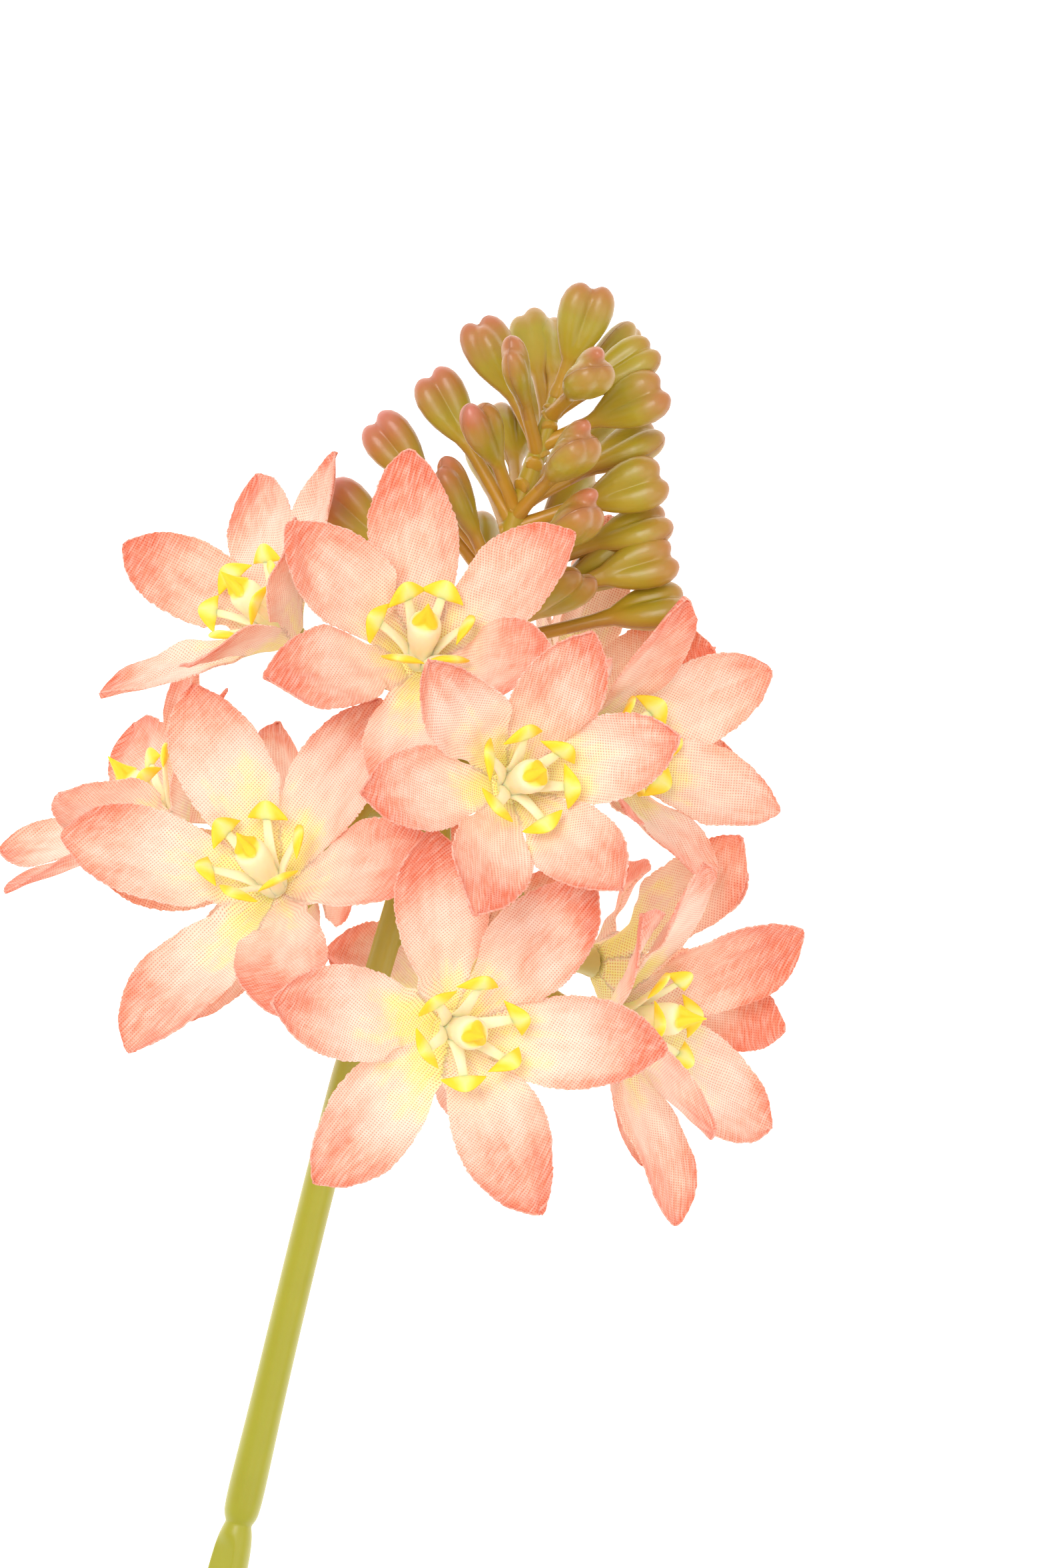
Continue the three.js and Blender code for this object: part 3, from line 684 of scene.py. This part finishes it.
def makeSpike():
    masters = {kind: makeBudMaster(kind) for kind in lobeSets}
    draw = random.Random(5)
    pieces = []
    widths = [(266.3, 0.78), (270.2, 0.78), (270.8, 1.5)]
    widths += [(y, 1.5 - 0.4 * max(0, y - 288) / 18) for y in (275, 280, 285, 290, 295, 300, 304)]
    widths += [(306.5, 1.0)]
    stations = [(y, width, width) for y, width in widths]
    axis = growAlongAxis("spikeAxis", stations, 14)
    applyModifier(axis, "SUBSURF", levels=1, render_levels=1)
    setNumber(axis, "growth", 0.5)
    setNumber(axis, "seam", noSeam)
    pieces.append(axis)
    for footY, middle, kind, turn in budRows:
        pieces.append(placeBud(masters[kind], footY, middle, turn, draw))
    spike = joinAll(pieces, "budSpikeFine")
    for master in masters.values():
        dropPiece(master)
    finishPiece(spike, "bud_spike", budPlastic)


makeSpike()


# Petal stars
petalValues = {
    "length": 28.5,
    "thickness": 0.22,
    "hole": 1.3,
    "root": 2.2,
    "outline": (1.1, 2.4, 3.9, 5.0, 5.7, 6.05, 6.1, 5.75, 4.9, 3.4, 0.5),
    "cup": 0.24,
    "slit": 0.7,
    "uncut": 6.8,            # mm from the eye that the star is still one cloth
    "notch": 8.4,            # mm from the eye where neighbouring petals come apart
    "overlap": 2.2,
    "rows": 92,
    "columns": 16,
    "ringRows": 2,
    "fray": 0.12,
    "wave": 0.4,
    "crease": 0.22,
    "swell": 0.09,           # soft hollows and bumps
    "sink": 0.7,             # how steeply an edge dips behind its neighbour
}


def shapePetal(petal, bloom, index, draw):
    v = petalValues
    grid = pointsOf(petal)
    row = np.rint((grid[:, 0] + 1) / 2 * v["rows"])
    column = grid[:, 1]
    share = np.clip((row - v["ringRows"]) / (v["rows"] - v["ringRows"]), 0, 1)
    size = bloom["size"]
    run = v["length"] * size - v["root"]
    turn = math.radians(bloom["spin"] + 60 * index + bloom["turns"][index])
    bend = math.radians(bloom["bends"][index])
    start = math.radians(bloom["lifts"][index]) + bend / 2
    slope = start - bend * share
    reach = v["root"] + run * (math.sin(start) - np.sin(slope)) / bend
    rise = run * (np.cos(slope) - math.cos(start)) / bend
    outward = np.array([math.cos(turn), math.sin(turn), 0.0])
    sideways = np.array([-math.sin(turn), math.cos(turn), 0.0])
    upward = -np.sin(slope)[:, None] * outward + np.cos(slope)[:, None] * np.array([0, 0, 1.0])
    twist = -math.radians(bloom["twists"][index]) * share
    side = sideways * np.cos(twist)[:, None] + upward * np.sin(twist)[:, None]
    up = upward * np.cos(twist)[:, None] - sideways * np.sin(twist)[:, None]
    # Outline, fuller on one side and blunter on some petals
    even = np.linspace(0, 1, 401)
    outline = np.interp(even, np.linspace(0, 1, len(v["outline"])), v["outline"])
    padded = np.pad(outline, 16, mode="reflect", reflect_type="odd")
    outline = np.convolve(padded, np.ones(33) / 33, mode="valid")
    blunt = draw.uniform(9.5, 13.0)
    outline = np.minimum(outline, blunt * np.sqrt(1.0001 - even))
    skew = draw.uniform(-0.09, 0.09)
    shifted = share + np.where(column < 0, skew, -skew) * 4 * share * (1 - share)
    half = np.interp(shifted, even, outline) * size
    steep = np.abs(np.sin(slope))
    turns = bloom["turns"]
    limits, extras, below = [], [], []
    for sign, beside in ((-1, (index + 5) % 6), (1, (index + 1) % 6)):
        spread = 60 + sign * (turns[beside] - turns[index])
        wedge = math.tan(math.radians(spread / 2 - v["slit"]))
        limits.append((reach - 0.15 * steep) * wedge / (1 + v["cup"] * steep * wedge))
        # The flatter petal of two runs on behind; the steeper one only where it stands clear
        climb = bloom["lifts"][index] - bloom["lifts"][beside] + (0.5 if index % 2 else -0.5)
        apart = reach * (np.tan(slope) - np.tan(slope - math.radians(climb)))
        extra = np.clip((apart - 0.8) / 1.3, 0, v["overlap"]) if climb > 0 else v["overlap"]
        extras.append(extra * smooth(v["notch"], v["notch"] + 4, v["root"] + run * share))
        below.append(climb < 0)
    room = np.where(column < 0, limits[0], limits[1])
    extra = np.where(column < 0, extras[0], extras[1])
    half = np.minimum(half, room + extra)
    # Frayed cut edge
    count = v["rows"] + 1
    frays = np.array([[draw.uniform(-1, 1) for _ in range(count)] for _ in (0, 1)]) * v["fray"]
    rows = row.astype(int)
    edge = np.clip((np.abs(column) - 0.86) / 0.14, 0, 1)
    fray = np.where(column < 0, frays[0][rows], frays[1][rows]) * edge * smooth(0.25, 0.4, share)
    across = column * half + np.sign(column) * fray
    # Pressed creases, rippled edges and a soft bow
    phases = [draw.uniform(0, 2 * math.pi) for _ in range(4)]
    fade = smooth(0.05, 0.3, share) * (1 - smooth(0.75, 1.0, share))
    crease = -v["crease"] * np.exp(-(across / 0.6) ** 2) * fade
    crease += 0.5 * v["crease"] * np.cos(3 * math.pi * column + phases[0]) * fade
    ripple = v["wave"] * draw.uniform(0.4, 1.0) * column ** 2 * smooth(0.3, 0.6, share)
    ripple = ripple * np.sin(2 * math.pi * 1.4 * share + np.where(column < 0, phases[1], phases[2]))
    curl = draw.uniform(-0.9, 0.5) * smooth(0.65, 1.0, share) ** 2
    swell = 0
    for _ in range(5):
        along, over, phase = draw.uniform(2, 7), draw.uniform(0.5, 2.2), draw.uniform(0, 6.3)
        swell = swell + np.sin(along * math.pi * share + over * math.pi * column + phase)
    crease = crease + v["swell"] * swell * smooth(0.15, 0.4, share)
    height = v["cup"] * half * column ** 2 * smooth(0, 0.12, share) + crease + ripple + curl
    beyond = np.maximum(0, np.abs(across) - room + 0.3) * smooth(0.2, 0.35, share)
    sinks = np.where(column < 0, below[0], below[1])
    height = height - np.where(sinks, v["sink"] * np.minimum(beyond, 2.0), 0)
    points = outward * reach[:, None] + np.array([0, 0, 1.0]) * rise[:, None]
    points = points + side * across[:, None] + up * height[:, None]
    # Ring round the eye's hole
    ringTurn = np.radians(bloom["spin"] + 60 * index + 30 * column)
    ringShare = np.clip(row / v["ringRows"], 0, 1)
    ringReach = v["hole"] + (v["root"] * (1 + 0.1 * np.abs(column)) - v["hole"]) * ringShare
    ring = np.stack([ringReach * np.cos(ringTurn), ringReach * np.sin(ringTurn), 0 * row], axis=1)
    inRing = (row <= v["ringRows"])[:, None]
    points = np.where(inRing, ring, points)
    # Where each point lies on the flat cut star and on its petal
    flatReach = np.where(row <= v["ringRows"], ringReach, v["root"] + run * share)
    angle = math.radians(60 * index + bloom["spin"] * 1.7)
    flat = np.stack([flatReach * math.cos(angle) - across * math.sin(angle),
                     flatReach * math.sin(angle) + across * math.cos(angle)], axis=1)
    flat = flat / clothValues["flatSize"]
    place = np.stack([flatReach / (v["length"] * size), 0.5 + 0.5 * column], axis=1)
    corners = np.empty(len(petal.data.loops), dtype=int)
    petal.data.loops.foreach_get("vertex_index", corners)
    for name, values in (("cut", flat), ("place", place)):
        layer = petal.data.uv_layers.get(name) or petal.data.uv_layers.new(name=name)
        layer.data.foreach_set("uv", values[corners].ravel())
    setNumber(petal, "rimDistance", np.where(share > 0.02, (1 - np.abs(column)) * half, 9.0))
    setNumber(petal, "petalTone", draw.uniform(-1, 1))
    return rows, column, flatReach, points


# Bring the edges of neighbouring petals together as far out as the star is one cloth
def closeStar(petals, shaped):
    v = petalValues
    edges = []
    for row, column, flatReach, points in shaped:
        lines = {}
        for side in (-1, 1):
            on = np.abs(column - side) < 1e-4
            order = np.argsort(row[on])
            lines[side] = points[on][order]
            away = flatReach[on][order]
        edges.append(lines)
    weight = (1 - smooth(v["uncut"], v["notch"], away))[:, None]
    for index, (row, column, _, points) in enumerate(shaped):
        moved = points.copy()
        for side in (-1, 1):
            other = edges[(index + side) % 6][-side]
            move = (other - edges[index][side]) / 2 * weight
            moved += move[row] * (np.clip(column * side, 0, 1) ** 2)[:, None]
        setPoints(petals[index], moved)


def makeStar(number, bloom):
    draw = random.Random(100 + number)
    petals, shaped = [], []
    for index in range(6):
        clearSelection()
        bpy.ops.mesh.primitive_grid_add(
            x_subdivisions=petalValues["rows"], y_subdivisions=petalValues["columns"], size=2)
        petal = bpy.context.active_object
        for layer in list(petal.data.uv_layers):
            petal.data.uv_layers.remove(layer)
        shaped.append(shapePetal(petal, bloom, index, draw))
        petals.append(petal)
    closeStar(petals, shaped)
    star = joinAll(petals, f"bloom{number:02d}Star")
    bpy.ops.object.mode_set(mode="EDIT")
    bpy.ops.mesh.select_all(action="SELECT")
    bpy.ops.mesh.remove_doubles(threshold=0.002)
    bpy.ops.object.mode_set(mode="OBJECT")
    applyModifier(star, "SOLIDIFY", thickness=petalValues["thickness"], offset=0)
    star.data.transform(Matrix.Scale(mm, 4) @ bloomMatrix(bloom))
    star.data.update()
    finishPiece(star, f"bloom_{number:02d}_petals", petalCloth, 50)


for number, bloom in enumerate(blooms, 1):
    makeStar(number, bloom)


# Moulded centres
centreValues = {
    "discLow": 0.62,
    "discTop": 1.6,
    "discRadius": 1.7,
    "splay": 33,
    "clearance": 82,
    "antherHalf": 2.9,
    "antherAt": 8.9,
    "rootReach": 1.35,
    "splayBy": 4.5,          # mm up the filament where it has its full lean
}


def makePistil():
    pistil = growTube("pistil", [((0, 0, z), r, r) for z, r in [
        (0, 1.6), (0.8, 1.66), (1.7, 1.6), (2.7, 1.55), (3.6, 1.7), (4.6, 1.95), (6.0, 2.15),
        (7.2, 2.15), (7.9, 2.0), (8.3, 1.65), (8.6, 1.4), (8.9, 1.32), (9.4, 1.1), (10.0, 0.8),
        (10.8, 0.5), (11.6, 0.22), (12.1, 0.05),
    ]], 18)
    applyModifier(pistil, "SUBSURF", levels=1, render_levels=1)
    points = pointsOf(pistil) / mm
    turn = np.arctan2(points[:, 1], points[:, 0])
    horn = smooth(8.3, 8.8, points[:, 2]) * (1 - 0.6 * smooth(9.0, 10.5, points[:, 2]))
    points[:, :2] *= (1 + 0.4 * np.cos(3 * turn) * horn)[:, None]
    points[:, 2] -= 0.4 * np.clip(np.cos(3 * turn), 0, 1) * horn
    setPoints(pistil, points * mm)
    setNumber(pistil, "tint", 0.1 + 0.72 * smooth(8.0, 8.8, points[:, 2]))
    return pistil


def makeStamen():
    v = centreValues
    filament = growTube("filament", [((0, 0, z), w, d) for z, w, d in [
        (-0.6, 0.95, 0.5), (0.5, 1.0, 0.5), (2.0, 0.98, 0.46), (4.0, 0.86, 0.4), (6.5, 0.7, 0.34),
        (8.2, 0.6, 0.32), (9.0, 0.5, 0.3),
    ]], 10)
    applyModifier(filament, "SUBSURF", levels=1, render_levels=1)
    points = pointsOf(filament) / mm
    setNumber(filament, "tint", 0.04 + 0.36 * smooth(6.5, 8.8, points[:, 2]))
    anther = growTube("anther", [((0, 0, z), w, d) for z, w, d in [
        (-v["antherHalf"], 0.05, 0.05), (-2.3, 0.5, 0.26), (-1.4, 1.0, 0.46), (-0.5, 1.4, 0.56),
        (0.5, 1.4, 0.56), (1.4, 1.0, 0.46), (2.2, 0.5, 0.26), (v["antherHalf"], 0.05, 0.05),
    ]], 12)
    applyModifier(anther, "SUBSURF", levels=1, render_levels=1)
    points = pointsOf(anther) / mm
    across = points[:, 2]
    along = np.where(points[:, 0] < 0, 1.25, 0.7) * points[:, 0]
    setPoints(anther, np.stack([
        across, points[:, 1] + 0.03 * across ** 2, v["antherAt"] - along - 0.1 * across ** 2,
    ], axis=1) * mm)
    toEnd = smooth(0.3, 1.9, np.abs(across) + 0.5 * np.clip(-along, 0, 2))
    setNumber(anther, "tint", 0.42 + 0.42 * toEnd)
    pickOnly(anther)
    bpy.ops.object.mode_set(mode="EDIT")
    bpy.ops.mesh.select_all(action="SELECT")
    bpy.ops.mesh.normals_make_consistent(inside=False)
    bpy.ops.object.mode_set(mode="OBJECT")
    return joinAll([filament, anther], "stamen")


pistilMaster = makePistil()
stamenMaster = makeStamen()


def makeDisc():
    v = centreValues
    disc = growTube("disc", [
        ((0, 0, v["discLow"]), v["discRadius"] - 0.2, v["discRadius"] - 0.2),
        ((0, 0, v["discLow"] + 0.15), v["discRadius"], v["discRadius"]),
        ((0, 0, v["discTop"] - 0.3), v["discRadius"] - 0.1, v["discRadius"] - 0.1),
        ((0, 0, v["discTop"]), 1.1, 1.1),
    ], 20)
    setNumber(disc, "tint", 0.1)
    return disc


def splayOf(bloom, aim, index):
    following = (index + 1) % 6
    steepest = max(bloom["lifts"][i] + bloom["bends"][i] / 2 for i in (index, following))
    lean = math.degrees(math.acos(min(aim.z, 1)))
    turn = math.radians(bloom["spin"] + 30 + 60 * index)
    toward = lean * math.cos(turn - math.atan2(aim.y, aim.x))
    return max(8, min(centreValues["splay"], centreValues["clearance"] - steepest - toward))


def makeCentre(number, bloom):
    v = centreValues
    draw = random.Random(300 + number)
    matrix = bloomMatrix(bloom)
    toLocal = matrix.to_3x3().transposed()
    aim = (toLocal @ Vector(bloom["aim"])).normalized()
    first = toLocal @ Vector((0, 1, 0))
    first = (first - aim * first.dot(aim)).normalized()
    second = aim.cross(first)
    low = Vector((0, 0, (v["discLow"] + v["discTop"]) / 2))
    pieces = [makeDisc()]
    pistil = copyOf(pistilMaster, "pistilCopy")
    points = pointsOf(pistil)
    grown = points @ np.array([first, second, aim])
    setPoints(pistil, grown + np.array(low) * mm)
    pieces.append(pistil)
    for index in range(6):
        splay = math.radians(splayOf(bloom, aim, index) + draw.uniform(-3, 1))
        turn = math.radians(bloom["spin"] + 30 + 60 * index + draw.uniform(-4, 4))
        outward = np.array(first) * math.cos(turn) + np.array(second) * math.sin(turn)
        side = np.cross(aim, outward)
        stamen = copyOf(stamenMaster, "stamenCopy")
        points = pointsOf(stamen) / mm
        steps = np.linspace(-1, 11, 241)
        step = steps[1] - steps[0]
        lean = splay * (0.45 + 0.72 * smooth(0.5, v["splayBy"], steps))
        lean = lean + 0.12 * smooth(5, 9, steps)
        slide = np.cumsum(np.sin(lean)) * step
        climb = np.cumsum(np.cos(lean)) * step
        slide -= np.interp(0, steps, slide)
        climb -= np.interp(0, steps, climb)
        tilt = np.interp(points[:, 2], steps, lean)
        away = v["rootReach"] + np.interp(points[:, 2], steps, slide)
        high = np.interp(points[:, 2], steps, climb)
        roll = math.radians(draw.uniform(-35, 35)) * smooth(6, 8.6, points[:, 2])
        x = points[:, 0] * np.cos(roll) - points[:, 1] * np.sin(roll)
        y = points[:, 0] * np.sin(roll) + points[:, 1] * np.cos(roll)
        away = away + y * np.cos(tilt)
        high = high - y * np.sin(tilt)
        placed = np.outer(away, outward) + np.outer(high, aim) - np.outer(x, side)
        setPoints(stamen, (placed + np.array(low)) * mm)
        pieces.append(stamen)
    centre = joinAll(pieces, f"bloom{number:02d}Centre")
    centre.data.transform(Matrix.Scale(mm, 4) @ matrix @ Matrix.Scale(1 / mm, 4))
    finishPiece(centre, f"bloom_{number:02d}_centre", centrePlastic, 60)


for number, bloom in enumerate(blooms, 1):
    makeCentre(number, bloom)
dropPiece(pistilMaster)
dropPiece(stamenMaster)
print("blooms made")


# Floor and light
stageValues = {
    "floor": paint(250, 250, 250),
    "floorGlow": 0.7,
    "sky": 0.68,
    "key": 8.5,
    "fill": 2.2,
    "front": 2.6,
}


def makeStage():
    clearSelection()
    bpy.ops.mesh.primitive_plane_add(size=6, location=(0, 0.2, 0))
    floor = bpy.context.active_object
    floor.name = "floor"
    material, tree, shader = newMaterial(
        "paleFloor", Roughness=0.9, Specular_IOR_Level=0.1,
        Emission_Strength=stageValues["floorGlow"])
    shader.inputs["Emission Color"].default_value = (1, 1, 1, 1)
    where = addNode(tree, "ShaderNodeTexCoord").outputs["Object"]
    tree.links.new(mixOf(tree, calc(tree, "MULTIPLY", noiseOf(tree, where, 3.0), 0.02),
                         stageValues["floor"], paint(240, 240, 240)), shader.inputs["Base Color"])
    floor.data.materials.append(material)
    world = bpy.data.worlds.new("paleStudio")
    world.use_nodes = True
    sky = world.node_tree.nodes["Background"]
    sky.inputs["Color"].default_value = (1, 1, 1, 1)
    sky.inputs["Strength"].default_value = stageValues["sky"]
    scene.world = world
    middle = Vector((0.01, 0.26, 0.05))
    for name, place, size, power in (
        ("keyLight", (-0.35, 0.55, 1.3), 0.6, stageValues["key"]),
        ("fillLight", (0.8, 0.0, 0.9), 0.8, stageValues["fill"]),
        ("frontLight", (0.05, 0.1, 1.5), 0.9, stageValues["front"]),
    ):
        bpy.ops.object.light_add(type="AREA", location=place)
        light = bpy.context.active_object
        light.name = name
        light.data.size = size
        light.data.energy = power
        light.rotation_euler = (middle - Vector(place)).to_track_quat("-Z", "Y").to_euler()


makeStage()
print("stage set")
